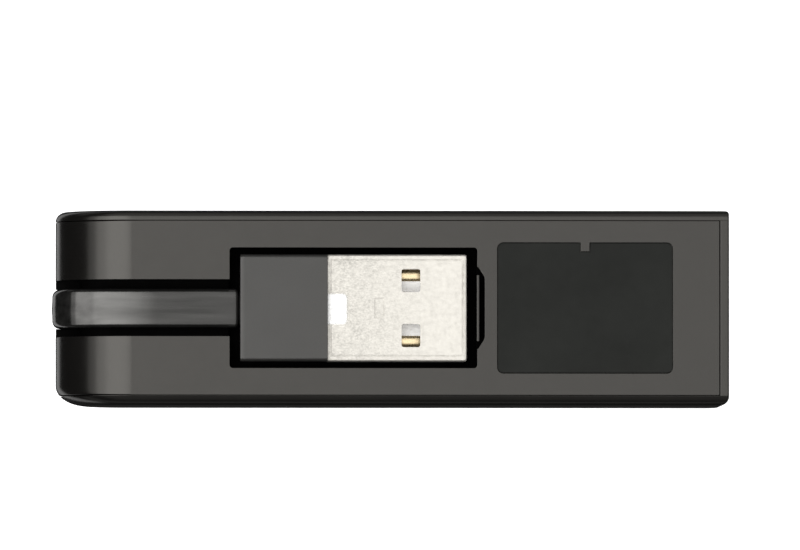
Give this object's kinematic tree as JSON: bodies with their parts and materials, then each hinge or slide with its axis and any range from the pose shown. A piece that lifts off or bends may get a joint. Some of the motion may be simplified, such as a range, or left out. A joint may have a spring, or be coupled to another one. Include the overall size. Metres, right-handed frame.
{
  "type": "usb logic analyzer",
  "caption": "Pocket USB logic analyzer: slim dark case with a half round end, a captive flat lead that wraps round it, and its plug stowed in a pocket.",
  "frame": {"origin": "middle of the base: centre of the box round the stowed object, at the height of the back face that it lies on", "axes": "+Z out of the stowage face, away from the back face; +X along the case from the half round end, where the lead wraps, to the input port; +Y completes the right hand frame"},
  "size_m": [0.0764, 0.022, 0.017],
  "materials": {
    "case_dark": "satin moulded plastic, very dark warm grey",
    "case_plate": "satin moulded plastic, dark warm grey",
    "label_film": "matt printed film, near black",
    "port_plastic": "matt glass-filled plastic, black",
    "lens": "frosted clear plastic",
    "steel": "zinc plated steel",
    "board": "green solder resist",
    "chip": "black moulding compound",
    "ceramic": "sintered ceramic",
    "gold": "gold flash over nickel",
    "lead_jacket": "satin elastomer, dark grey",
    "wire": "coloured insulation",
    "overmould": "fine spark-eroded texture, dark grey",
    "plug_metal": "bright tin plate, mottled",
    "insulator": "off-white nylon"
  },
  "bodies": {
    "case": {"back_shell": "case_dark", "stowage_cover": "case_plate", "nameplate": "label_film", "case_screws": "steel", "port_bezel": "port_plastic", "status_lens": "lens", "main_board": "board", "board_screws": "steel", "usb_controller": "chip", "input_buffers": "chip", "memory_chip": "chip", "crystal": "steel", "voltage_regulator": "chip", "capacitors": "ceramic", "resistors": "chip", "status_led": "ceramic", "pin_block": "port_plastic", "input_pins": "gold", "lead_grommet": "lead_jacket", "lead_tail": "lead_jacket", "lead_wires": "wire"},
    "lead_link_1": {"lead_link_1": "lead_jacket"},
    "lead_link_2": {"lead_link_2": "lead_jacket"},
    "lead_run": {"lead_run": "lead_jacket"},
    "plug": {"plug_stub": "lead_jacket", "plug_overmould": "overmould", "plug_shell": "plug_metal", "plug_insulator": "insulator", "plug_contacts": "gold"}
  },
  "joints": [
    {"name": "lead_bend_1", "type": "hinge", "parent": "case", "child": "lead_link_1", "pos_m": [-0.03463, 0, 0.0036], "axis": [0, -1, 0], "range_deg": [0, 56]},
    {"name": "lead_bend_2", "type": "hinge", "parent": "lead_link_1", "child": "lead_link_2", "pos_m": [-0.03763, 0, 0.0088], "axis": [0, -1, 0], "range_deg": [0, 56]},
    {"name": "lead_bend_3", "type": "hinge", "parent": "lead_link_2", "child": "lead_run", "pos_m": [-0.03463, 0, 0.014], "axis": [0, -1, 0], "range_deg": [0, 56]},
    {"name": "plug_tilt", "type": "hinge", "parent": "lead_run", "child": "plug", "pos_m": [-0.01777, 0, 0.014], "axis": [0, -1, 0], "range_deg": [0, 12]}
  ],
  "couplings": [
    {"joint": "lead_bend_2", "follows": "lead_bend_1", "ratio": 1},
    {"joint": "lead_bend_3", "follows": "lead_bend_1", "ratio": 1}
  ]
}
